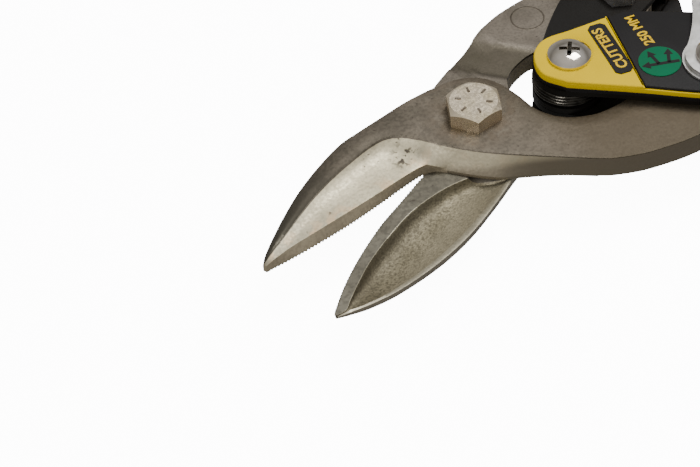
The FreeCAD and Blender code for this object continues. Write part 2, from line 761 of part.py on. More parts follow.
doc.recompute()
for item in doc.Objects:
    if "Invalid" in item.State or "Error" in item.State:
        raise RuntimeError("%s failed to recompute" % item.Label)
for item in parts:
    if item.Shape.isNull() or not item.Shape.isValid() or not item.Shape.Solids:
        raise RuntimeError("%s has no valid solid" % item.Label)
    if len(item.Shape.Solids) > 1:
        raise RuntimeError("%s is in %d pieces" % (item.Label, len(item.Shape.Solids)))

os.makedirs("parts", exist_ok=True)
for item in parts:
    item.Shape.exportStep(os.path.join("parts", item.Label + ".step"))
    box = item.Shape.BoundBox
    print("%-24s %8.1f mm3  z %.2f to %.2f" % (item.Label, item.Shape.Volume, box.ZMin, box.ZMax))
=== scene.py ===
import math
import bmesh
import bpy
from mathutils import Euler, Matrix, Vector


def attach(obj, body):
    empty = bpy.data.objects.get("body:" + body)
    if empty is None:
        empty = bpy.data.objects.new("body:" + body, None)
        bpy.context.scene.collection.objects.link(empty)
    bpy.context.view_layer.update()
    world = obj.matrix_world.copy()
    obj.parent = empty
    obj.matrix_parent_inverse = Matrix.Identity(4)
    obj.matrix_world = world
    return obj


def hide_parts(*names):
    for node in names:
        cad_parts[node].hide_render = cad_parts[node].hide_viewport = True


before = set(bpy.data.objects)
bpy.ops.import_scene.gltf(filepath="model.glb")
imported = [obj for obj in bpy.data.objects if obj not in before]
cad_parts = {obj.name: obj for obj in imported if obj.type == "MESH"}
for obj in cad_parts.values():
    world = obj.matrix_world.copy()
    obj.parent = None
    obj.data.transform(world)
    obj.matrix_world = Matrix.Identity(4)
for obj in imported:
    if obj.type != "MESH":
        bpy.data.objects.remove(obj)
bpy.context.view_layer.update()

# Everything is drawn in millimetres above the jaws' parting plane and stored in metres.
PARTING = 10.5
HANDLE_PIVOT = Vector((-24.2, 0.0, 0.0))
TANG_PIVOT = Vector((-50.0, 18.3, 0.0))
REAR_LINK = (HANDLE_PIVOT - TANG_PIVOT).length
HANDLE_ANGLE = math.atan2(TANG_PIVOT.y, HANDLE_PIVOT.x - TANG_PIVOT.x)
GRIP_BEND = math.radians(11.0)
LIFT = Matrix.Translation((0, 0, PARTING))
UPPER = LIFT @ Matrix.Translation(TANG_PIVOT) @ Matrix.Rotation(-HANDLE_ANGLE, 4, "Z")
LOWER = LIFT @ Matrix.Rotation(math.pi, 4, "X") @ Matrix.Translation(TANG_PIVOT)
LOWER = LOWER @ Matrix.Rotation(-HANDLE_ANGLE, 4, "Z")
TO_METRES = Matrix.Scale(0.001, 4)

# ---- Materials ----------------------------------------------------------------------------


class Shader:
    """A material's node tree with short ways to add the nodes this scene uses."""

    def __init__(self, name, roughness, metallic=0.0, specular=0.5):
        self.material = bpy.data.materials.new(name)
        self.material.use_nodes = True
        self.tree = self.material.node_tree
        self.surface = self.tree.nodes["Principled BSDF"]
        self.surface.inputs["Roughness"].default_value = roughness
        self.surface.inputs["Metallic"].default_value = metallic
        self.surface.inputs["Specular IOR Level"].default_value = specular
        self.place = self.tree.nodes.new("ShaderNodeTexCoord").outputs["Object"]

    def link(self, source, target):
        self.tree.links.new(source, target)

    def noise(self, size_mm, detail=4.0, stretch=(1, 1, 1)):
        """Soft noise whose blotches are about the given size across."""
        mapping = self.tree.nodes.new("ShaderNodeMapping")
        mapping.inputs["Scale"].default_value = stretch
        self.link(self.place, mapping.inputs["Vector"])
        node = self.tree.nodes.new("ShaderNodeTexNoise")
        node.inputs["Scale"].default_value = 1000.0 / size_mm
        node.inputs["Detail"].default_value = detail
        self.link(mapping.outputs["Vector"], node.inputs["Vector"])
        return node.outputs["Fac"]

    def span(self, source, low, high, to_low=0.0, to_high=1.0):
        """Ease from one amount to another as the source passes from low to high."""
        node = self.tree.nodes.new("ShaderNodeMapRange")
        node.interpolation_type = "SMOOTHSTEP"
        node.inputs["From Min"].default_value = low
        node.inputs["From Max"].default_value = high
        node.inputs["To Min"].default_value = to_low
        node.inputs["To Max"].default_value = to_high
        self.link(source, node.inputs["Value"])
        return node.outputs["Result"]

    def product(self, first, second):
        """Multiply two amounts, each a number or an output."""
        node = self.tree.nodes.new("ShaderNodeMath")
        node.operation = "MULTIPLY"
        for socket, value in zip(node.inputs, (first, second)):
            if isinstance(value, (int, float)):
                socket.default_value = value
            else:
                self.link(value, socket)
        return node.outputs["Value"]

    def mix(self, amount, first, second):
        """Blend two colours, each a plain colour or an output."""
        node = self.tree.nodes.new("ShaderNodeMix")
        node.data_type = "RGBA"
        for socket, value in ((node.inputs[6], first), (node.inputs[7], second)):
            if isinstance(value, tuple):
                socket.default_value = (*value, 1.0)
            else:
                self.link(value, socket)
        if isinstance(amount, (int, float)):
            node.inputs[0].default_value = amount
        else:
            self.link(amount, node.inputs[0])
        return node.outputs[2]

    def along(self, direction, low, high):
        """From 0 to 1 as a place moves along a direction between two distances in millimetres."""
        node = self.tree.nodes.new("ShaderNodeVectorMath")
        node.operation = "DOT_PRODUCT"
        node.inputs[1].default_value = Vector(direction).normalized() * 1000
        self.link(self.place, node.inputs[0])
        return self.span(node.outputs["Value"], low, high)

    def near(self, x, y, inner, outer):
        """1 inside a circle seen from above, fading to 0 outside it."""
        node = self.tree.nodes.new("ShaderNodeVectorMath")
        node.operation = "DISTANCE"
        flat = self.tree.nodes.new("ShaderNodeVectorMath")
        flat.operation = "MULTIPLY"
        flat.inputs[1].default_value = (1000, 1000, 0)
        self.link(self.place, flat.inputs[0])
        node.inputs[1].default_value = (x, y, 0)
        self.link(flat.outputs["Vector"], node.inputs[0])
        return self.span(node.outputs["Value"], inner, outer, 1.0, 0.0)

    def colour(self, source):
        self.link(source, self.surface.inputs["Base Color"])

    def rough(self, source, low, high):
        self.link(self.span(source, 0.3, 0.7, low, high), self.surface.inputs["Roughness"])

    def bump(self, source, height_mm):
        node = self.tree.nodes.new("ShaderNodeBump")
        node.inputs["Strength"].default_value = 1.0
        node.inputs["Distance"].default_value = height_mm / 1000
        self.link(source, node.inputs["Height"])
        self.link(node.outputs["Normal"], self.surface.inputs["Normal"])


def steel(name, light, dark, roughness, grain=0.5, height=0.02, metallic=0.85, spots=0.0,
          mottle=0.3):
    """Worked steel: cloudy colour, fine grain, mottling, dark specks and an uneven sheen."""
    s = Shader(name, roughness, metallic)
    cloud = s.noise(7.0, 5.0)
    fine = s.noise(grain, 3.0)
    base = s.mix(s.span(cloud, 0.35, 0.65), dark, light)
    base = s.mix(s.span(fine, 0.3, 0.75, 0.0, 0.35), base, dark)
    deep = tuple(channel * 0.45 for channel in dark)
    base = s.mix(s.span(s.noise(grain * 1.3, 4.0), 0.42, 0.66, 0.0, mottle), base, deep)
    if spots > 0:
        speck = s.span(s.noise(1.6, 6.0), 0.73 - 0.1 * spots, 0.78 - 0.1 * spots)
        base = s.mix(s.product(speck, 0.8), base, (0.05, 0.04, 0.03))
    s.colour(base)
    s.rough(fine, roughness - 0.05, roughness + 0.09)
    s.bump(fine, height)
    return s


def tint(shader, amount, colour):
    """Blend a further colour into a material where the amount is above zero."""
    clean = shader.surface.inputs["Base Color"].links[0].from_socket
    shader.colour(shader.mix(amount, clean, colour))


# Directions over the jaws.
TO_HANDLES = Vector((-1, 0, 0))
TO_TIP = Vector((0.82, 0.57, 0))
TO_RIDGE = Vector((-0.482, 0.876, 0))
TO_EDGE = Vector((-0.15, 0.989, 0))
DOWN_TANG = Vector((-1, -1, 0))
DOWN_WEDGE = Vector((-0.175, 0, -1))

DARK_SCALE = (0.072, 0.065, 0.048)
BROWN_SKIN = (0.066, 0.051, 0.031)
OIL_BROWN = (0.085, 0.060, 0.036)
SCOOP_SHADE = (0.056, 0.048, 0.030)
BOWL_SHADE = (0.060, 0.051, 0.032)
BOWL_HIGHLIGHT = (0.42, 0.37, 0.26)
DULL_TIP = (0.26, 0.235, 0.17)
HEAT_TINT = (0.66, 0.45, 0.25)
GREY_SKIN = (0.34, 0.298, 0.205)
FOOT_SHADE = (0.135, 0.113, 0.081)
CORNER_SHADE = (0.17, 0.15, 0.11)
PIT_BROWN = (0.060, 0.050, 0.036)

forged = steel("forged_steel", (0.168, 0.140, 0.105), (0.112, 0.092, 0.068), 0.45, 0.6, 0.018,
               metallic=0.75, spots=0.4)
forged_rim_and_wall_shade = steel("forged_rim_and_wall_shade", (0.168, 0.142, 0.108), (0.112, 0.096, 0.072), 0.45, 0.6, 0.022,
                   metallic=0.75, spots=0.5, mottle=0.4)
blade_floor = steel("ground_blade", (0.62, 0.555, 0.39), (0.49, 0.435, 0.30), 0.50, 0.6, 0.040,
                    metallic=0.7, spots=0.6, mottle=0.34)
edge_band = steel("edge_band", (0.40, 0.342, 0.238), (0.31, 0.262, 0.18), 0.50, 0.6, 0.012,
                  metallic=0.5, spots=0.4)
lower_band = steel("lower_band", (0.158, 0.146, 0.112), (0.112, 0.102, 0.076), 0.45, 0.7, 0.014,
                   metallic=0.7, spots=0.5, mottle=0.5)
bowl = steel("forged_bowl", (0.270, 0.235, 0.155), (0.180, 0.155, 0.098), 0.55, 0.45, 0.10,
             metallic=0.7, mottle=0.75)
# The ridge steel is a painted highlight, lighter than the bowl, for the lit crease along the band's
# border and the lit outer ridge.
ridge = steel("ridge_painted_highlight", (0.46, 0.42, 0.31), (0.33, 0.295, 0.21), 0.42, 0.5, 0.012,
              metallic=0.7)
dark_wall = steel("dark_wall", (0.30, 0.26, 0.19), (0.20, 0.172, 0.122), 0.50, 0.5, 0.030,
                  metallic=0.5, mottle=0.4)
tang_top = steel("tang_top", (0.165, 0.142, 0.113), (0.110, 0.094, 0.072), 0.46, 0.5, 0.018,
                 metallic=0.75, spots=0.3)
# The rim darkens towards the tip of the blade, where the forging scale was left on.
tint(forged_rim_and_wall_shade, forged_rim_and_wall_shade.along(TO_TIP, 14.0, 46.0), DARK_SCALE)
for shader in (forged, forged_rim_and_wall_shade):
    # The upper tang is darker and browner towards the handle.
    tint(shader, shader.product(shader.along(TO_HANDLES, -2.0, 21.0), 0.85), BROWN_SKIN)
for shader in (forged, forged_rim_and_wall_shade, tang_top):
    # Brown oil stains lie round the pivot bolt.
    stain = shader.product(shader.near(0, 0, 5.0, 13.0), shader.span(shader.noise(3.0), 0.35, 0.6))
    tint(shader, shader.product(stain, 0.6), OIL_BROWN)
# Painted shade darkens the scooped band of the lower tang, where it slopes away from the light.
scoop_shade = tang_top.product(tang_top.along(DOWN_TANG, 16.6, 18.4),
                         tang_top.along(-DOWN_TANG, -28.8, -27.0))
tint(tang_top, tang_top.product(scoop_shade, 0.7), SCOOP_SHADE)
# Painted shade darkens the bowl beside the ground band, where the band's edge shades it, and a
# painted highlight brightens it towards its outer ridge.
tint(bowl, bowl.product(bowl.along(-TO_RIDGE, -6.5, -0.5), 0.75), BOWL_SHADE)
tint(bowl, bowl.product(bowl.along(TO_RIDGE, 5.0, 10.0), 0.35), BOWL_HIGHLIGHT)
# The blade's floor is duller at its tip and has warm heat tints along the cutting edge.
tint(blade_floor, blade_floor.product(blade_floor.along(TO_TIP, 28.0, 47.0), 0.7), DULL_TIP)
warmth = blade_floor.product(blade_floor.along(TO_EDGE, -1.5, 3.2),
                             blade_floor.span(blade_floor.noise(3.0, 5.0), 0.48, 0.62))
tint(blade_floor, blade_floor.product(warmth, 0.5), HEAT_TINT)
# Behind the blade the same grey skin is darker, and painted shade darkens the foot of its wall, so
# that its lit part is a wedge that narrows towards the handle.
behind = blade_floor.along(TO_HANDLES, -16.5, -11.0)
tint(blade_floor, blade_floor.product(behind, 0.85), GREY_SKIN)
foot_shade = blade_floor.product(behind, blade_floor.along(DOWN_WEDGE, -14.6, -12.6))
tint(blade_floor, blade_floor.product(foot_shade, 0.85), FOOT_SHADE)
# The corner where the blade meets the head is shaded and pitted.
tint(blade_floor, blade_floor.product(blade_floor.near(14.8, 3.2, 0.3, 2.8), 0.5), CORNER_SHADE)
pits = blade_floor.product(blade_floor.near(18.3, 1.2, 1.0, 4.0),
                           blade_floor.span(blade_floor.noise(1.3, 6.0), 0.53, 0.58))
tint(blade_floor, pits, PIT_BROWN)


def plated(name, light, dark, roughness, metallic=0.9):
    """A plated metal: slight colour drift and an uneven sheen."""
    s = Shader(name, roughness, metallic)
    cloud = s.noise(3.5, 4.0)
    fine = s.noise(0.5, 2.0)
    s.colour(s.mix(s.span(cloud, 0.35, 0.65), dark, light))
    s.rough(fine, roughness - 0.05, roughness + 0.08)
    s.bump(fine, 0.0006)
    return s


bolt_steel = plated("bolt_plating", (0.78, 0.67, 0.50), (0.66, 0.56, 0.38), 0.26)
zinc = plated("zinc_plating", (0.58, 0.57, 0.55), (0.44, 0.43, 0.40), 0.36)
chrome = plated("bright_chrome", (0.80, 0.75, 0.68), (0.62, 0.56, 0.48), 0.07, 1.0)


def moulded(name, light, dark, roughness, grain, height, shine=0.25):
    """A moulded plastic: slight colour drift, a fine moulded grain and a few scuffs."""
    s = Shader(name, roughness, specular=shine)
    drift = s.noise(14.0, 3.0)
    fine = s.noise(grain, 3.0)
    scuff = s.span(s.noise(2.2, 6.0, (1, 3, 1)), 0.64, 0.76, 0.0, 0.15)
    base = s.mix(s.span(drift, 0.35, 0.65), dark, light)
    pale = tuple(min(1.0, channel * 1.2 + 0.004) for channel in light)
    s.colour(s.mix(scuff, base, pale))
    s.rough(fine, roughness - 0.05, roughness + 0.08)
    s.bump(fine, height)
    return s


yellow = moulded("yellow_moulding", (0.66, 0.455, 0.0), (0.60, 0.41, 0.0), 0.45, 0.8, 0.002,
                 shine=0.03)
matt_black = moulded("black_moulding", (0.009, 0.008, 0.008), (0.006, 0.005, 0.005), 0.55,
                     0.3, 0.006, shine=0.18)
soft_black = moulded("grip_rubber", (0.022, 0.021, 0.021), (0.013, 0.012, 0.012), 0.62, 0.4, 0.012)
green = moulded("green_print", (0.0, 0.110, 0.046), (0.0, 0.092, 0.038), 0.50, 0.6, 0.002,
                shine=0.1)
yellow_ink = moulded("yellow_ink", (0.70, 0.46, 0.01), (0.60, 0.38, 0.01), 0.50, 0.5, 0.001,
                     shine=0.1)
channel_black = moulded("channel_coating", (0.009, 0.0075, 0.006), (0.006, 0.005, 0.004), 0.42,
                        0.5, 0.005, shine=0.14)
spring_black = plated("oiled_spring_and_recess_shade", (0.075, 0.068, 0.056), (0.020, 0.018, 0.015), 0.18, 0.8)

# ---- Drawing tools ------------------------------------------------------------------------


def curve(points, count):
    """Evenly spaced samples of a smooth curve through the points."""
    knots = [Vector(point) for point in points]
    if len(knots) == 2:
        return [knots[0].lerp(knots[1], i / count) for i in range(count + 1)]
    knots = [knots[0] * 2 - knots[1]] + knots + [knots[-1] * 2 - knots[-2]]
    fine = []
    for i in range(1, len(knots) - 2):
        before, start, end, after = knots[i - 1:i + 3]
        chord = (end - start).length
        leave = (end - before) / ((start - before).length + chord) * chord
        arrive = (after - start) / ((after - end).length + chord) * chord
        for step in range(24):
            t = step / 24
            fine.append(start * (2 * t ** 3 - 3 * t ** 2 + 1) + leave * (t ** 3 - 2 * t ** 2 + t)
                        + end * (3 * t ** 2 - 2 * t ** 3) + arrive * (t ** 3 - t ** 2))
    fine.append(knots[-2])
    lengths = [0.0]
    for first, second in zip(fine, fine[1:]):
        lengths.append(lengths[-1] + (second - first).length)
    samples = []
    index = 0
    for i in range(count + 1):
        wanted = lengths[-1] * i / count
        while index < len(fine) - 2 and lengths[index + 1] < wanted:
            index += 1
        step = lengths[index + 1] - lengths[index]
        samples.append(fine[index].lerp(fine[index + 1], (wanted - lengths[index]) / step))
    return samples


def chain(sections, counts):
    """One row of samples from several smooth sections that share their end points."""
    row = []
    for points, count in zip(sections, counts):
        row += curve(points, count)[:-1]
    return row + [Vector(sections[-1][-1])]


def finish_mesh(name, verts, faces, face_materials, materials, place, body, sharp=35.0):
    """A mesh object from plain lists, smooth except over sharp edges, riding on a body."""
    mesh = bpy.data.meshes.new(name)
    to_world = TO_METRES @ place
    mesh.from_pydata([to_world @ Vector(v) for v in verts], [], faces)
    for shader in materials:
        mesh.materials.append(shader.material)
    for polygon, index in zip(mesh.polygons, face_materials):
        polygon.material_index = index
    work = bmesh.new()
    work.from_mesh(mesh)
    bmesh.ops.remove_doubles(work, verts=work.verts, dist=1e-6)
    bmesh.ops.recalc_face_normals(work, faces=work.faces)
    for face in work.faces:
        face.smooth = True
    work.to_mesh(mesh)
    work.free()
    mesh.set_sharp_from_angle(angle=math.radians(sharp))
    item = bpy.data.objects.new(name, mesh)
    bpy.context.collection.objects.link(item)
    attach(item, body)
    return item


def strip(name, rows, bands, materials, place, body, sharp=35.0):
    """A closed skin over rows of samples; bands gives the material of each strip and column."""
    width = len(rows[0])
    verts = [point for row in rows for point in row]
    faces = []
    kinds = []
    for r in range(len(rows)):
        after = (r + 1) % len(rows)
        for c in range(width - 1):
            faces.append((r * width + c, r * width + c + 1, after * width + c + 1,
                          after * width + c))
            kinds.append(bands(r, c))
    for c in (0, width - 1):
        faces.append([r * width + c for r in range(len(rows))])
        kinds.append(bands(0, c))
    return finish_mesh(name, verts, faces, kinds, materials, place, body, sharp)


def blend_rows(first, second, share, sag=0.0):
    """A row between two rows, lowered by sag times their distance."""
    row = []
    for a, b in zip(first, second):
        point = a.lerp(b, share)
        point.z -= sag * (b - a).length
        row.append(point)
    return row


def bore(item, holes, place):
    """Cut round holes, each (x, y, radius), through a piece."""
    for x, y, radius in holes:
        work = bmesh.new()
        bmesh.ops.create_cone(work, cap_ends=True, segments=64, radius1=radius, radius2=radius,
                              depth=80.0)
        bmesh.ops.translate(work, verts=work.verts, vec=(x, y, 0))
        bmesh.ops.transform(work, matrix=TO_METRES @ place, verts=work.verts)
        mesh = bpy.data.meshes.new("bore")
        work.to_mesh(mesh)
        work.free()
        tool = bpy.data.objects.new("bore", mesh)
        bpy.context.collection.objects.link(tool)
        change = item.modifiers.new("bore", "BOOLEAN")
        change.operation = "DIFFERENCE"
        change.solver = "EXACT"
        change.object = tool
        graph = bpy.context.evaluated_depsgraph_get()
        made = bpy.data.meshes.new_from_object(item.evaluated_get(graph))
        item.modifiers.clear()
        item.data = made
        made.set_sharp_from_angle(angle=math.radians(35))
        bpy.data.objects.remove(tool)
    return item


def inset_loop(points, amount):
    """A closed flat outline drawn in by an amount."""
    moved = []
    for i, point in enumerate(points):
        run = points[(i + 1) % len(points)] - points[i - 1]
        moved.append(point + Vector((-run.y, run.x, 0)).normalized() * amount)
    return moved


def clip(loop, point, keep):
    """The part of a closed outline that lies on the keep side of a line through a point."""
    kept = []
    for start, end in zip(loop, loop[1:] + loop[:1]):
        before = (start - point).dot(keep)
        after = (end - point).dot(keep)
        if before >= 0:
            kept.append(start)
        if before * after < 0:
            kept.append(start.lerp(end, before / (before - after)))
    return kept


def plate(name, loop, low, high, round_top, materials, place, body, round_low=0.0):
    """A flat plate from a closed outline, run anticlockwise, with rounded top and bottom edges."""
    levels = []
    for step in range(4, -1, -1):
        angle = math.pi / 2 * step / 4
        levels.append((round_low * (1 - math.cos(angle)), low + round_low * (1 - math.sin(angle))))
    for step in range(5):
        angle = math.pi / 2 * step / 4
        levels.append((round_top * (1 - math.cos(angle)), high - round_top * (1 - math.sin(angle))))
    verts = []
    for inset, level in levels:
        for point in inset_loop(loop, inset):
            verts.append(Vector((point.x, point.y, level)))
    count = len(loop)
    faces = []
    for r in range(len(levels) - 1):
        for c in range(count):
            after = (c + 1) % count
            faces.append((r * count + c, r * count + after, (r + 1) * count + after,
                          (r + 1) * count + c))
    faces.append(list(range(count))[::-1])
    faces.append([(len(levels) - 1) * count + c for c in range(count)])
    return finish_mesh(name, verts, faces, [0] * len(faces), materials, place, body)


# ---- Jaws ---------------------------------------------------------------------------------

TEETH = 51
STEPS_PER_TOOTH = 4
BLADE_STEPS = TEETH * STEPS_PER_TOOTH
HEAD_STEPS = 70
TANG_STEPS = 60
EYE_STEPS = 18
COUNTS = (BLADE_STEPS, HEAD_STEPS, TANG_STEPS, EYE_STEPS)
# The steps behind the blade's corner that its edge facet, its crown and the lower bowl run over.
EDGE_FACET = 8
BLEND_STEPS = 20
EYE = 7.5
JAW_THICKNESS = 5.4
JAW_GAP = 0.02


def eye_arc(start, side):
    """Points round the tang's eye from an angle in degrees to its back."""
    points = []
    for step in range(5):
        angle = math.radians(start + (180 - start) * step / 4)
        points.append((TANG_PIVOT.x + EYE * math.cos(angle),
                       (TANG_PIVOT.y + side * EYE * math.sin(angle))))
    return points


def raised(points, level):
    """Flat points lifted to a level."""
    return [(x, y, level) for x, y in points]


TANG_OUTER = [(-15.3, 25.6), (-18.1, 27.2), (-25.3, 29.6), (-37.5, 30.9), (-45.5, 29.0)]
TANG_OUTER.append(eye_arc(109.5, 1)[0])
TANG_INNER = [(-14.3, 9.9), (-16.7, 11.9), (-19.6, 13.3), (-22.8, 14.2), (-28.5, 14.1),
              (-38.0, 12.2)]
TANG_INNER.append(eye_arc(84.0, -1)[0])
HEAD_TOP_NEAR = [(12.7, 1.7), (10.9, 4.1), (7.9, 7.4), (4.8, 10.4), (1.5, 13.2), (-5.1, 18.2),
                 (-9.5, 21.4), (-15.3, 25.6)]
HEAD_LOW_NEAR = [(14.9, 5.6), (13.0, 6.3), (7.9, 11.3), (3.0, 15.4), (-1.5, 17.6), (-6.5, 20.1),
                 (-10.5, 22.5), (-15.3, 25.8)]
HEAD_FAR = [(9.0, -11.3), (5.0, -11.6), (1.5, -11.5), (-1.9, -11.2), (-5.0, -10.0), (-7.6, -8.0),
            (-9.5, -4.8), (-10.4, -2.1), (-11.1, 0.9), (-11.6, 4.2), (-12.4, 6.9), (-14.3, 9.9)]


def serrate(row, depth, towards):
    """Small square-cut teeth along the blade part of a row, cut towards a second row."""
    cut = []
    for i, point in enumerate(row):
        on_blade = STEPS_PER_TOOTH < i < BLADE_STEPS - STEPS_PER_TOOTH
        if on_blade and i % STEPS_PER_TOOTH < 2:
            inward = (towards[i] - point).normalized() * depth
            point = point + Vector((inward.x, inward.y, 0))
        cut.append(point)
    return cut


def soften(row, middle, reach, passes):
    """Average neighbours in a stretch of a row, to round a corner into a fillet."""
    for _ in range(passes):
        before = [point.copy() for point in row]
        for i in range(middle - reach, middle + reach + 1):
            row[i] = (before[i - 1] + before[i] * 2 + before[i + 1]) / 4
    return row


def fillet_rows(first, corner, last):
    """Rows on a smooth curve from one row to another, pulled towards a row at their corner."""
    rows = []
    for step in range(6):
        share = step / 5
        row = []
        for a, b, c in zip(first, corner, last):
            row.append(a.lerp(b, share).lerp(b.lerp(c, share), share))
        rows.append(row)
    return rows


def build_upper_jaw():
    top = JAW_THICKNESS
    cut_edge = [(56.9, 12.1, 0), (51.4, 11.8, 0), (44.0, 11.0, 0), (36.4, 9.9, 0), (28.1, 8.2, 0),
                (22.6, 6.9, 0), (17.3, 5.8, 0), (14.9, 5.6, 0)]
    band_top = [(56.8, 11.9, 1.7), (54.5, 11.4, 2.1), (50.5, 10.6, 2.4), (42.8, 9.5, 2.55),
                (35.4, 8.4, 2.6), (28.0, 7.2, 2.6), (22.1, 6.1, 2.6), (17.5, 5.4, 2.6),
                (15.1, 5.4, 2.6)]
    wall_base = [(56.9, 11.7, 1.9), (54.9, 11.0, 2.3), (50.4, 8.9, 2.65), (45.6, 6.3, 2.8),
                 (40.2, 3.6, 2.9), (34.6, 1.2, 2.95), (28.4, -0.9, 3.0), (23.7, -2.2, 3.05),
                 (20.6, -2.2, 3.1), (18.2, -1.0, 3.3), (15.6, 1.2, 3.8), (13.4, 3.0, 4.4)]
    rim_inner = [(56.9, 11.4, 2.2), (55.1, 10.4, 2.6), (50.7, 7.9, 3.0), (46.2, 5.2, 3.4),
                 (40.9, 2.2, 3.8), (35.1, -0.4, 4.2), (28.6, -2.6, 4.6), (23.5, -3.9, 4.85),
                 (19.7, -4.1, 5.05), (16.7, -2.7, 5.25), (14.0, 0.1, 5.4), (12.7, 1.7, 5.4)]
    rim_outer = [(57.3, 11.3, 1.5), (55.9, 9.5, 1.8), (52.6, 6.4, 2.1), (47.2, 1.9, 2.5),
                 (41.5, -2.2, 2.9), (34.8, -5.9, 3.4), (28.4, -8.4, 4.1), (23.2, -9.2, 4.6),
                 (17.8, -10.0, 4.9), (12.2, -10.9, 5.15), (9.0, -11.3, 5.2)]
    under = [(x, y, 0) for x, y, z in rim_outer]
    eye_near = eye_arc(109.5, 1)
    eye_far = eye_arc(84.0, -1)
    bottom = chain([cut_edge, raised(HEAD_LOW_NEAR, 0), raised(TANG_OUTER, 0),
                    raised(eye_near, 0)], COUNTS)
    low_wall = chain([[(x, y, 0.35) for x, y, z in cut_edge], raised(HEAD_LOW_NEAR, 0.75),
                      raised(TANG_OUTER, 0.5), raised(eye_near, 0.5)], COUNTS)
    near_top = [rim_inner, raised(HEAD_TOP_NEAR, top), raised(TANG_OUTER, top),
                raised(eye_near, top)]
    edge_top = chain(near_top, COUNTS)
    head_top = curve(raised(HEAD_TOP_NEAR, top), HEAD_STEPS)
    head_mid = blend_rows(curve(raised(HEAD_LOW_NEAR, 0.75), HEAD_STEPS), head_top, 0.08)
    for i in range(EDGE_FACET):
        head_mid[i] = Vector(band_top[-1]).lerp(head_mid[EDGE_FACET], i / EDGE_FACET)
    tang_mid = curve(raised(TANG_OUTER, 1.12), TANG_STEPS)
    eye_mid = curve(raised(eye_near, 1.12), EYE_STEPS)
    band_row = curve(band_top, BLADE_STEPS)[:-1] + head_mid[:-1] + tang_mid[:-1] + eye_mid
    base_row = (curve(wall_base, BLADE_STEPS)[:-1]
                + blend_rows(head_mid, head_top, 0.66)[:-1]
                + curve(raised(TANG_OUTER, 4.3), TANG_STEPS)[:-1]
                + curve(raised(eye_near, 4.3), EYE_STEPS))
    floor_a = blend_rows(band_row, base_row, 0.08)
    floor_b = soften(blend_rows(band_row, base_row, 0.40, 0.02), BLADE_STEPS, 9, 30)
    floor_c = soften(blend_rows(band_row, base_row, 0.75, 0.02), BLADE_STEPS, 12, 40)
    soften(base_row, BLADE_STEPS, 12, 40)
    crest = blend_rows(base_row, edge_top, 0.82)
    outer_top = chain([rim_outer, raised(HEAD_FAR, top - 0.25), raised(TANG_INNER, top - 0.25),
                       raised(eye_far, top - 0.25)], COUNTS)
    outer_low = chain([under, raised(HEAD_FAR, 0), raised(TANG_INNER, 0), raised(eye_far, 0)],
                      COUNTS)
    rims = []
    for share, bulge in ((0.06, 0.0), (0.25, 0.75), (0.5, 1.0), (0.75, 0.75), (0.93, 0.2604)):
        row = blend_rows(edge_top, outer_top, share)
        for i, point in enumerate(row):
            if i < BLADE_STEPS + BLEND_STEPS:
                point.z += (0.12 + 0.35 * max(0.0, 1 - i / BLADE_STEPS)) * bulge
            else:
                point.z = top
        rims.append(row)
    bevel = blend_rows(outer_top, outer_low, 0.12)
    for i, point in enumerate(bevel):
        point.x = outer_top[i].x
        point.y = outer_top[i].y
    teeth = serrate(bottom, 0.30, edge_top)
    tooth_tops = serrate(low_wall, 0.10, edge_top)
    above = blend_rows(low_wall, band_row, 0.12)
    rows = [teeth, tooth_tops, above, band_row, floor_a, floor_b]
    rows += fillet_rows(floor_c, base_row, crest)
    rows += [edge_top] + rims + [outer_top, bevel, outer_low]

    floor, edge, rim, side = range(4)
    floor_start = rows.index(band_row)
    # The dark rim steel also covers the strip just below the wall's top edge, as a painted shadow
    # line along the rim.
    rim_and_wall_shade_start = rows.index(edge_top) - 1
    side_start = rows.index(outer_top) - 1

    def kinds(r, c):
        if r < floor_start:
            return edge if c < BLADE_STEPS + EDGE_FACET else floor
        if r < rim_and_wall_shade_start:
            return floor
        return rim if r < side_start else side

    return strip("upper_jaw_forging", rows, kinds,
                 [blade_floor, edge_band, forged_rim_and_wall_shade, forged], LIFT, "upper_jaw_side",
                 55.0)


def tang_scoop(point):
    """How far the lower tang's top is scooped at a place, in millimetres."""
    across = (point.x + point.y) / math.sqrt(2)
    if point.y > -9:
        return 0.0
    enter = min(max((-17.1 - across) / 0.9, 0.0), 1.0)
    leave = min(max((across + 28.2) / 0.9, 0.0), 1.0)
    depth = min(enter, leave)
    return 0.4 * depth * depth * (3 - 2 * depth)


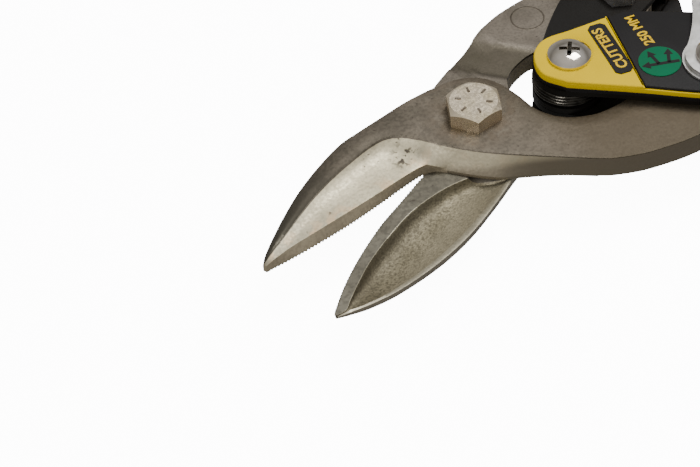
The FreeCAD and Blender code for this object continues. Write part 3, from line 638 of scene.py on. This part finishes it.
def build_lower_jaw():
    top = -JAW_GAP
    low = JAW_GAP - JAW_THICKNESS
    cut_edge = [(50.3, 29.2), (49.6, 28.2), (44.7, 23.3), (38.5, 18.3), (31.0, 13.3), (24.1, 9.7),
                (17.6, 6.3), (13.6, 4.4)]
    border = [(49.9, 29.6), (47.6, 29.3), (45.8, 27.6), (42.8, 25.0), (37.5, 20.8), (30.4, 16.6),
              (23.9, 13.5), (18.2, 12.0), (12.9, 11.3), (8.6, 11.4)]
    ridge_line = [(49.8, 29.9), (47.2, 30.1), (42.6, 30.5), (35.8, 30.3), (25.2, 28.2), (16.2, 25.1),
                  (7.5, 20.7), (0.1, 16.2)]
    foot = [(49.9, 29.3, -1.5), (47.2, 29.6, -1.9), (42.6, 30.0, -2.3), (35.8, 29.7, -2.6),
            (25.2, 27.6, -2.9), (16.2, 24.5, -3.0), (7.5, 20.1, -3.0), (-0.1, 15.7, -3.0)]
    cut_foot = [(50.0, 29.1, -1.5), (49.3, 28.2, -1.7), (44.5, 23.5, -2.2), (38.3, 18.5, -2.6),
                (30.8, 13.5, -2.9), (24.0, 9.9, -3.0), (17.6, 6.5, -3.6), (13.6, 4.4, low)]
    head_near = [(13.6, 4.4), (13.6, -1.0), (11.0, -7.0), (6.5, -12.2), (1.0, -16.2), (-5.0, -19.6),
                 (-10.5, -22.4), (-15.3, -25.6)]
    head_far = [(0.1, 16.2), (-3.8, 14.0), (-8.0, 10.6), (-10.5, 5.5), (-11.3, 0.0), (-12.1, -5.0),
                (-14.3, -9.9)]
    tang_near = [(x, -y) for x, y in TANG_OUTER]
    tang_far = [(x, -y) for x, y in TANG_INNER]
    eye_near = [(x, -y) for x, y in eye_arc(109.5, 1)]
    eye_far = [(x, -y) for x, y in eye_arc(84.0, -1)]
    near = chain([raised(cut_edge, top), raised(head_near, top), raised(tang_near, top),
                  raised(eye_near, top)], COUNTS)
    near_low = chain([cut_foot, raised(head_near, low), raised(tang_near, low),
                      raised(eye_near, low)], COUNTS)
    far = chain([raised(ridge_line, top - 0.25), raised(head_far, top), raised(tang_far, top),
                 raised(eye_far, top)], COUNTS)
    head_foot = [(-0.1, 15.7, -3.0), (-3.8, 13.6, -3.1), (-8.0, 10.4, -4.6), (-10.5, 5.5, low)]
    head_foot += raised(head_far[4:], low)
    far_low = chain([foot, head_foot, raised(tang_far, low), raised(eye_far, low)], COUNTS)
    border_row = curve(raised(border, top), BLADE_STEPS)[:-1]
    mixed = blend_rows(near, far, 0.45)[BLADE_STEPS:]
    for i, point in enumerate(mixed):
        fade = max(0.0, 1 - i / 30)
        mixed[i] = point.lerp(Vector((*border[-1], top)), fade * fade)
    border_row = border_row + mixed
    ridge_inner = []
    for i, (edge, inner) in enumerate(zip(far, border_row)):
        span = (inner - edge).length
        ridge_inner.append(edge.lerp(inner, min(0.45, 0.55 / max(span, 0.01))))
    rows = [near_low, near]
    for share in (0.03, 0.5, 0.97):
        rows.append(blend_rows(near, border_row, share))
    rows.append(border_row)
    shares = (0.025, 0.06, 0.12, 0.20, 0.31, 0.44, 0.58, 0.71, 0.83, 0.93)
    depth = (0.10, 0.42, 0.74, 0.93, 1.0, 0.97, 0.85, 0.66, 0.43, 0.19)
    for share, deep in zip(shares, depth):
        row = blend_rows(border_row, ridge_inner, share)
        for i, point in enumerate(row):
            width = (border_row[i] - ridge_inner[i]).length
            fade = 1.0 if i < BLADE_STEPS - 2 else max(0.0, 1 - (i - BLADE_STEPS + 2) / 10)
            point.z = top - 0.25 * share - deep * min(2.1, 0.21 * width) * fade
            if i >= BLADE_STEPS:
                point.z = top - deep * 2.0 * fade
        rows.append(row)
    rows.append(ridge_inner)
    rows.append(far)
    for row in rows[1:]:
        for i, point in enumerate(row):
            if i > BLADE_STEPS + BLEND_STEPS:
                point.z -= tang_scoop(point)
    rows.append([a.lerp(b, 0.12) for a, b in zip(far, far_low)])
    rows.append(far_low)
    rows[1] = serrate(rows[1], 0.28, far)

    band_kind, bowl_kind, ridge_highlight_kind, wall_kind, tang_kind = range(5)

    def kinds(r, c):
        if c >= BLADE_STEPS:
            return tang_kind if 1 <= r <= 17 else wall_kind
        if r in (1, 2, 3):
            return band_kind
        # The crease along the band's border and the outer ridge take the painted highlight.
        if r in (4, 15, 16, 17):
            return ridge_highlight_kind
        return bowl_kind if r < 15 else wall_kind

    return strip("lower_jaw_forging", rows, kinds,
                 [lower_band, bowl, ridge, dark_wall, tang_top], LIFT, "lower_jaw", 50.0)


BOLT_BORE = 3.22
TANG_BORE = 3.65
upper_jaw = build_upper_jaw()
bore(upper_jaw, [(0, 0, BOLT_BORE), (TANG_PIVOT.x, TANG_PIVOT.y, TANG_BORE)], LIFT)
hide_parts("upper_jaw")
lower_jaw = build_lower_jaw()
bore(lower_jaw, [(0, 0, BOLT_BORE), (TANG_PIVOT.x, -TANG_PIVOT.y, TANG_BORE)], LIFT)
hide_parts("lower_jaw")

# ---- Handle covers ------------------------------------------------------------------------

COVER_BASE = 6.85
COVER_BODY = 8.0
COVER_PANEL = 9.2
COVER_TOP = 9.9
SEAM_INNER = Vector((23.9, -13.1, 0.0))
SEAM_OUTER = Vector((15.0, 9.2, 0.0))


def cover_loop(inset):
    """The cover seen from above, run anticlockwise, drawn in by an inset."""
    nose = (REAR_LINK, 8.1 - inset, 0.0)
    sections = [
        [nose, (15.0, 9.0 - inset, 0), (3.5, 9.9 - inset, 0), (-6.0, 9.8 - inset, 0),
         (-14.5 + inset, 7.4 - inset, 0)],
        [(-14.5 + inset, 7.4 - inset, 0), (-14.5 + inset, -9.4 + inset, 0)],
        [(-14.5 + inset, -9.4 + inset, 0), (-7.0, -13.6 + inset, 0), (2.0, -15.6 + inset, 0),
         (16.5, -15.6 + inset, 0), (20.4, -15.1 + inset, 0), (24.0, -13.1 + inset, 0),
         (REAR_LINK, -8.6 + inset, 0)],
        [(REAR_LINK, -8.6 + inset, 0), (37.6 - inset, -5.0, 0), (39.4 - inset, -0.2, 0),
         (37.3 - inset, 5.5, 0), nose],
    ]
    return chain(sections, (26, 10, 40, 30))[:-1]


def lettering(name, text, tall, centre, turn, level, shader, place, body, stretch=1.0):
    """Flat raised letters of plain wording, centred on a point."""
    font = bpy.data.curves.new(name, "FONT")
    font.body = text
    font.size = tall * 1.4
    font.align_x = "CENTER"
    font.align_y = "CENTER"
    font.extrude = 0.03
    font.offset = 0.035 * tall
    font.resolution_u = 4
    draft = bpy.data.objects.new(name, font)
    bpy.context.collection.objects.link(draft)
    graph = bpy.context.evaluated_depsgraph_get()
    mesh = bpy.data.meshes.new_from_object(draft.evaluated_get(graph))
    bpy.data.objects.remove(draft)
    shape = Matrix.Translation((centre[0], centre[1], level))
    shape = shape @ Matrix.Rotation(math.radians(turn), 4, "Z")
    shape = shape @ Matrix.Diagonal((stretch, 1, 1, 1))
    mesh.transform(TO_METRES @ place @ shape)
    mesh.materials.clear()
    mesh.materials.append(shader.material)
    item = bpy.data.objects.new(name, mesh)
    bpy.context.collection.objects.link(item)
    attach(item, body)
    return item


def polygons(name, shapes, low, high, shader, place, body):
    """Flat prisms from straight-sided outlines, joined into one piece."""
    verts = []
    faces = []
    for shape in shapes:
        first = len(verts)
        count = len(shape)
        verts += [(x, y, low) for x, y in shape] + [(x, y, high) for x, y in shape]
        faces.append([first + i for i in range(count)][::-1])
        faces.append([first + count + i for i in range(count)])
        for i in range(count):
            after = (i + 1) % count
            faces.append((first + i, first + after, first + count + after, first + count + i))
    return finish_mesh(name, verts, faces, [0] * len(faces), [shader], place, body)


def arrow(tail, head, width):
    """A straight arrow from tail to head as two outlines, a bar and a triangle."""
    start = Vector((*tail, 0))
    end = Vector((*head, 0))
    run = (end - start).normalized()
    side = Vector((-run.y, run.x, 0))
    neck = end - run * width * 2.3
    bar = [start - side * width / 2, neck - side * width / 2, neck + side * width / 2,
           start + side * width / 2]
    tip = [neck - side * width * 1.35, end, neck + side * width * 1.35]
    return [[(p.x, p.y) for p in bar], [(p.x, p.y) for p in tip]]


WORDING_TURN = -61.3


def build_cover(side, place, body, holes):
    """A handle's cover: dark base, yellow body and nose, dark panel, wording and arrows."""
    seam_run = (SEAM_OUTER - SEAM_INNER).normalized()
    to_nose = Vector((seam_run.y, -seam_run.x, 0))
    base = plate(side + "_cover_base_moulding", cover_loop(0.0), COVER_BASE, COVER_BODY, 0.12,
                 [matt_black], place, body, 0.25)
    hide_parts(side + "_cover_base")
    skirt = plate(side + "_cover_body_moulding", cover_loop(0.02), COVER_BODY, COVER_PANEL, 0.12,
                  [yellow], place, body, 0.1)
    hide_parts(side + "_cover_body")
    nose_loop = clip(cover_loop(0.06), SEAM_INNER, to_nose)
    nose = plate(side + "_cover_nose", nose_loop, COVER_PANEL - 0.3, COVER_TOP, 0.45, [yellow],
                 place, body)
    panel_loop = clip(cover_loop(0.4), SEAM_INNER - to_nose * 0.08, -to_nose)
    panel = plate(side + "_cover_panel_moulding", panel_loop, COVER_PANEL - 0.2, COVER_TOP, 0.3,
                  [matt_black], place, body)
    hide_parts(side + "_cover_panel")
    for item, name in ((base, "black_plastic"), (skirt, "yellow_plastic"),
                       (nose, "yellow_plastic"), (panel, "black_plastic")):
        bore(item, holes, place)
    name = lettering(side + "_badge_wording", "CUTTERS", 2.35, (22.9, -2.6), WORDING_TURN,
                     COVER_TOP + 0.26, yellow_ink, place, body, 0.98)
    word = lettering(side + "_panel_wording", "250 MM", 2.3, (16.6, -8.9), WORDING_TURN,
                     COVER_TOP + 0.01, yellow_ink, place, body, 0.95)
    arrows = arrow((8.0, 0.6), (16.0, 2.9), 0.8) + arrow((12.4, 1.8), (14.9, -1.9), 0.75)
    arrows += arrow((10.2, 1.2), (10.6, -3.0), 0.75)
    signs = polygons(side + "_disc_arrows", arrows, COVER_TOP + 0.19, COVER_TOP + 0.24,
                     matt_black, place, body)


build_cover("upper", UPPER, "upper_handle", [(REAR_LINK, 0, 2.55), (0, 0, 2.55)])
build_cover("lower", LOWER, "lower_handle", [(REAR_LINK, 0, 5.2), (0, 0, 5.1)])

# ---- Grips --------------------------------------------------------------------------------

GRIP_SECTIONS = ((16.0, 2.6, 9.9, 8.4), (27.0, 3.2, 10.7, 9.7), (50.0, 4.6, 11.8, 10.2),
                 (78.0, 5.0, 12.6, 10.2), (104.0, 4.0, 11.2, 10.0), (127.0, 3.6, 11.8, 10.2),
                 (135.0, 3.5, 10.4, 9.0), (139.0, 3.4, 6.5, 5.4))
SLEEVE_START = 38.0
SLEEVE_END = 126.0
RIB_PITCH = 4.0
GROOVE_WIDTH = 0.9
GROOVE_DEPTH = 0.55
RING_POINTS = 64
SQUARENESS = 0.78


def grip_shape(distance):
    """Offset, half width and half depth of the grip at a distance behind the tang pivot."""
    for before, after in zip(GRIP_SECTIONS, GRIP_SECTIONS[1:]):
        if distance <= after[0]:
            break
    share = min(max((distance - before[0]) / (after[0] - before[0]), 0.0), 1.0)
    if after[0] > 130:
        share = share ** 2
    else:
        share = share * share * (3 - 2 * share)
    return [a + (b - a) * share for a, b in zip(before[1:], after[1:])]


def grip_ring(distance, swell):
    """A rounded-square ring round the grip, kept above the bench and below the opposite level."""
    offset, wide, deep = grip_shape(distance)
    points = []
    for step in range(RING_POINTS):
        cosine = math.cos(2 * math.pi * step / RING_POINTS)
        sine = math.sin(2 * math.pi * step / RING_POINTS)
        across = math.copysign(abs(cosine) ** SQUARENESS, cosine) * (wide + swell) + offset
        rise = math.copysign(abs(sine) ** SQUARENESS, sine) * (deep + swell)
        rise = max(-PARTING + 0.02, min(PARTING, rise))
        points.append(Vector((-distance * math.cos(GRIP_BEND) - across * math.sin(GRIP_BEND),
                              -distance * math.sin(GRIP_BEND) + across * math.cos(GRIP_BEND),
                              rise)))
    return points


def grip_skin(name, stations, shader, place, body):
    """A closed skin through rings at (distance, swell) stations."""
    rings = [grip_ring(distance, swell) for distance, swell in stations]
    count = len(rings[0])
    verts = [point for ring in rings for point in ring]
    faces = []
    for r in range(len(rings) - 1):
        for c in range(count):
            after = (c + 1) % count
            faces.append((r * count + c, r * count + after, (r + 1) * count + after,
                          (r + 1) * count + c))
    faces.append(list(range(count)))
    faces.append([(len(rings) - 1) * count + c for c in range(count)][::-1])
    return finish_mesh(name, verts, faces, [0] * len(faces), [shader], place, body, 50.0)


def build_grip(side, place, body):
    front = [(16.0, -0.5), (16.3, -0.1)] + [(16.8 + i, 0.0) for i in range(21)]
    front += [(SLEEVE_START - 0.1, -0.1), (SLEEVE_START + 0.2, -0.5), (SLEEVE_START + 0.2, -2.4)]
    front += [(SLEEVE_END - 0.2, -2.4), (SLEEVE_END - 0.2, -0.5), (SLEEVE_END + 0.1, -0.1)]
    front += [(SLEEVE_END + 0.5 + i * 0.5, 0.0) for i in range(20)]
    front += [(136.5 + i * 0.25, 0.0) for i in range(11)]
    core = grip_skin(side + "_grip_core_moulding", front, yellow, place, body)
    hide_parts(side + "_grip_core")
    stations = [(SLEEVE_START + 0.3, -1.2), (SLEEVE_START + 0.3, -0.35), (SLEEVE_START + 0.8, 0.0)]
    distance = SLEEVE_START + 1.4
    while distance < SLEEVE_END - 0.8:
        ribbed = SLEEVE_START + 8 < distance < SLEEVE_END - 8
        in_groove = (distance - 44.0) % RIB_PITCH < GROOVE_WIDTH
        stations.append((distance, -GROOVE_DEPTH if ribbed and in_groove else 0.0))
        distance += 0.45
    stations += [(SLEEVE_END - 0.7, 0.0), (SLEEVE_END - 0.3, -0.35), (SLEEVE_END - 0.3, -1.2)]
    sleeve = grip_skin(side + "_grip_sleeve_moulding", stations, soft_black, place, body)
    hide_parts(side + "_grip_sleeve")


build_grip("upper", UPPER, "upper_handle")
build_grip("lower", LOWER, "lower_handle")

# ---- Small marks --------------------------------------------------------------------------

BOLT_HEAD = 3.9
bolt_top = JAW_THICKNESS + BOLT_HEAD
# The raised grade marks on the bolt head are drawn in dark tang steel, as painted shade for the
# shadows round them.
dashes = []
for step in range(6):
    angle = math.radians(20.5 + 60 * step)
    run = Vector((math.cos(angle), math.sin(angle), 0))
    across = Vector((-run.y, run.x, 0)) * 0.24
    corners = [run * 2.7 - across, run * 4.1 - across, run * 4.1 + across, run * 2.7 + across]
    dashes.append([(p.x, p.y) for p in corners])
marks = polygons("bolt_grade_marks", dashes, bolt_top - 0.05, bolt_top + 0.14, tang_top, LIFT,
                 "upper_jaw_side")


def ring_mark(name, x, y, radius, thick, level, shader, place, body):
    """A raised forged ring lying on a surface."""
    verts = []
    faces = []
    around, tube = 48, 10
    for i in range(around):
        turn = 2 * math.pi * i / around
        for j in range(tube):
            lean = 2 * math.pi * j / tube
            reach = radius + thick * math.cos(lean)
            verts.append((x + reach * math.cos(turn), y + reach * math.sin(turn),
                          level + thick * 0.6 * math.sin(lean)))
            faces.append((i * tube + j, (i + 1) % around * tube + j,
                          (i + 1) % around * tube + (j + 1) % tube, i * tube + (j + 1) % tube))
    return finish_mesh(name, verts, faces, [0] * len(faces), [shader], place, body)


ring_steel = steel("ring_mark", (0.090, 0.076, 0.056), (0.060, 0.050, 0.036), 0.45)
ring_mark("tang_ring_mark", -28.9, -24.5, 3.8, 0.45, -0.255, ring_steel, LIFT, "lower_jaw")

# Dark plates in the cross recesses of the screw heads, as painted shade in the recesses.
CROSS_REACH = 2.2
CROSS_HALF = 0.44
for label, x, level, place, body in (
    ("handle_screw", REAR_LINK, COVER_TOP, UPPER, "upper_handle"),
    ("upper_tang_screw", 0.0, 11.75, UPPER, "upper_handle"),
    ("lower_tang_screw", 0.0, COVER_BASE, LOWER, "lower_handle"),
):
    floor_level = level + CROSS_REACH * 0.45
    cross = []
    for reach, half in ((CROSS_REACH, CROSS_HALF), (CROSS_HALF, CROSS_REACH)):
        cross.append([(x - reach, -half), (x + reach, -half), (x + reach, half), (x - reach, half)])
    piece = polygons(label + "_recess_painted_shade", cross, floor_level, floor_level + 0.12, spring_black, place,
                     body)

# ---- Carried-over pieces ------------------------------------------------------------------

KEPT = {
    "pivot_bolt": bolt_steel,
    "pivot_washer": zinc,
    "pivot_nut": zinc,
    "latch_lever": zinc,
    "latch_base": zinc,
    "latch_stud": zinc,
    "handle_pivot_nut": zinc,
    "upper_spacer_sleeve": zinc,
    "lower_spacer_sleeve": zinc,
    "handle_pivot_screw": chrome,
    "upper_tang_screw": chrome,
    "lower_tang_screw": chrome,
    "torsion_spring": spring_black,
}
for side in ("upper", "lower"):
    KEPT[side + "_handle_channel"] = channel_black
    KEPT[side + "_badge"] = matt_black
    KEPT[side + "_direction_disc"] = green
    KEPT[side + "_tang_bushing"] = zinc
    KEPT[side + "_tang_nut"] = zinc
for node, shader in KEPT.items():
    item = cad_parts[node]
    item.data.materials.clear()
    item.data.materials.append(shader.material)

# ---- Stage --------------------------------------------------------------------------------

floor_shader = Shader("studio_floor", 0.9, specular=0.1)
floor_shader.surface.inputs["Emission Color"].default_value = (1.0, 1.0, 1.0, 1.0)
floor_shader.surface.inputs["Emission Strength"].default_value = 12.0
floor_clouds = floor_shader.noise(400.0)
floor_shader.colour(floor_shader.mix(floor_clouds, (0.90, 0.90, 0.90), (0.93, 0.93, 0.93)))
bpy.ops.mesh.primitive_plane_add(size=12.0, location=(0, 0, -0.0006))
floor = bpy.context.object
floor.name = "studio_floor"
floor.data.materials.append(floor_shader.material)
floor.visible_diffuse = False
floor.visible_glossy = False

world = bpy.data.worlds.new("studio")
world.use_nodes = True
sky = world.node_tree
height = sky.nodes.new("ShaderNodeSeparateXYZ")
sky.links.new(sky.nodes.new("ShaderNodeTexCoord").outputs["Generated"], height.inputs[0])
ramp = sky.nodes.new("ShaderNodeValToRGB")
stops = ramp.color_ramp.elements
stops[0].position, stops[0].color = 0.0, (0.50, 0.49, 0.47, 1)
stops[1].position, stops[1].color = 1.0, (1.0, 1.0, 1.0, 1)
middle = stops.new(0.45)
middle.color = (0.27, 0.26, 0.245, 1)
sky.links.new(height.outputs["Z"], ramp.inputs["Fac"])
sky.links.new(ramp.outputs["Color"], sky.nodes["Background"].inputs["Color"])
sky.nodes["Background"].inputs["Strength"].default_value = 0.75
bpy.context.scene.world = world


def softbox(name, position, target, size, power):
    light = bpy.data.lights.new(name, "AREA")
    light.shape = "RECTANGLE"
    light.size, light.size_y = size
    light.energy = power
    item = bpy.data.objects.new(name, light)
    item.location = position
    direction = Vector(target) - Vector(position)
    item.rotation_euler = direction.to_track_quat("-Z", "Y").to_euler()
    bpy.context.collection.objects.link(item)
    return item


softbox("overhead", (-0.28, -0.10, 0.75), (0.0, 0.0, 0.01), (0.36, 0.36), 6.5)
softbox("side", (0.55, 0.35, 0.45), (0.0, 0.0, 0.01), (0.25, 0.35), 3.0)

camera_data = bpy.data.cameras.new("camera")
camera_data.sensor_width = 36.0
camera_data.lens = 92.57
camera = bpy.data.objects.new("camera", camera_data)
camera.location = (0.13692, 0.23881, 0.29188)
camera.rotation_euler = Euler([math.radians(a) for a in (41.212, 4.133, 151.6)], "XYZ")
bpy.context.collection.objects.link(camera)
bpy.context.scene.camera = camera
